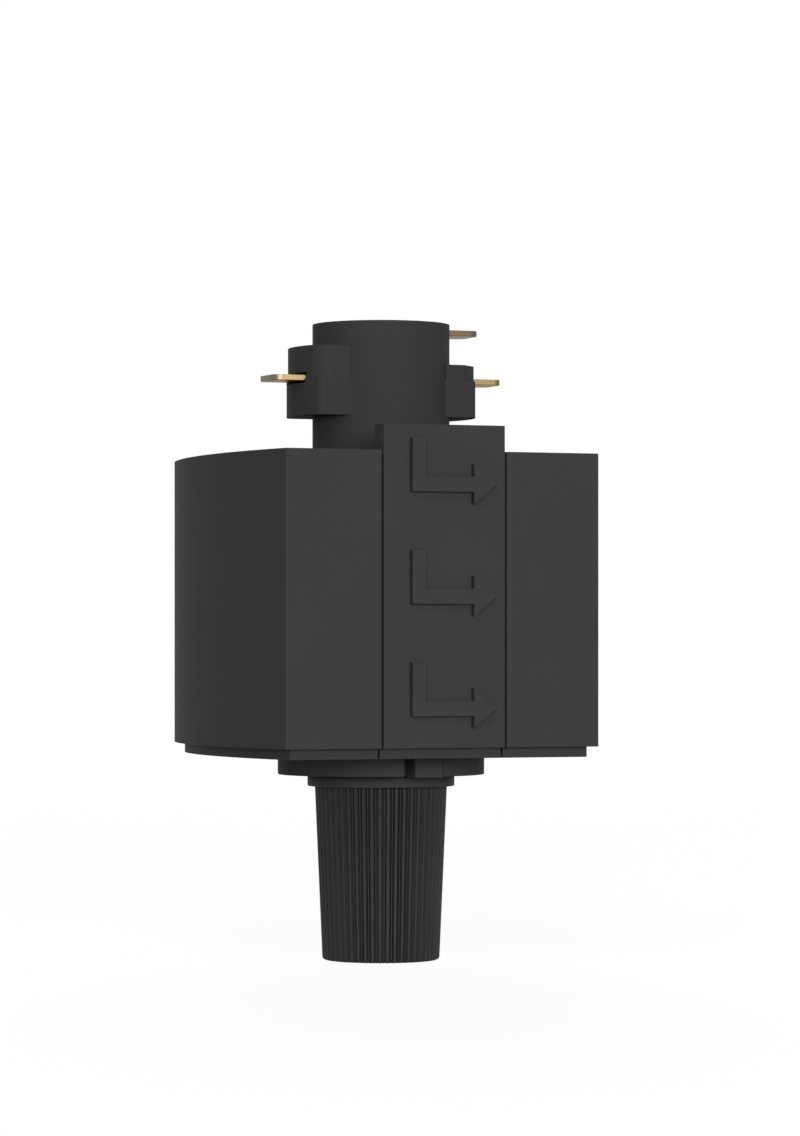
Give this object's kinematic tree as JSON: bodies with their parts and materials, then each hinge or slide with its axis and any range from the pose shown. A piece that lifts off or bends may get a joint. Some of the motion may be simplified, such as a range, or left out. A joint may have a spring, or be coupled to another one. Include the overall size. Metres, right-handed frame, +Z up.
{
  "type": "pendant lamp track connector",
  "caption": "Twist-in track connector for a pendant lamp: housing with curved sides, sprung front latch with arrows, contact turret on top and a ribbed cord-grip cap below.",
  "frame": {"origin": "on the turret's and cord's common axis, in the housing's top face, which meets the underside of the track", "axes": "+Z up along the cord axis towards the track, +X to the right across the front, -Y towards the front with the latch"},
  "size_m": [0.0398, 0.0362, 0.0682],
  "materials": {
    "black_plastic": "fine satin moulding",
    "cap_plastic": "satin moulding with ribs",
    "contact_metal": "stamped strip, satin",
    "terminal_brass": "machined",
    "screw_steel": "zinc plated",
    "insulator": "natural nylon",
    "seal_rubber": "matte"
  },
  "bodies": {
    "body": {"housing": "black_plastic", "base_plate": "black_plastic", "cover_screws": "screw_steel", "latch_spring": "screw_steel", "turret": "black_plastic", "left_lug_cap": "black_plastic", "right_lug_cap": "black_plastic", "turret_lid": "black_plastic", "turret_screws": "screw_steel", "contact_core": "insulator", "line_contact": "contact_metal", "neutral_contact": "contact_metal", "earth_contact": "contact_metal", "terminal_block": "insulator", "line_terminal": "terminal_brass", "neutral_terminal": "terminal_brass", "earth_terminal": "terminal_brass", "terminal_screws": "screw_steel", "gland_body": "black_plastic", "gland_gasket": "seal_rubber", "gland_nut": "screw_steel", "cord_seal": "seal_rubber"},
    "latch": {"latch": "black_plastic"},
    "pressure_ring": {"thrust_washer": "screw_steel"},
    "cap": {"cord_cap": "cap_plastic"}
  },
  "joints": [
    {"name": "latch_slide", "type": "slide", "parent": "body", "child": "latch", "axis": [0, 0, -1], "range_m": [0, 0.0028], "stiffness_N_per_m": 300, "springref_m": -0.006, "deforming": ["latch_spring"]},
    {"name": "cap_travel", "type": "slide", "parent": "body", "child": "pressure_ring", "axis": [0, 0, -1], "range_m": [0, 0.006]},
    {"name": "cap_turn", "type": "hinge", "parent": "pressure_ring", "child": "cap", "pos_m": [0, 0, -0.04], "axis": [0, 0, -1], "range_deg": [0, 1440]}
  ],
  "couplings": [
    {"joint": "cap_turn", "follows": "cap_travel", "rad_per_m": 4188.8}
  ]
}
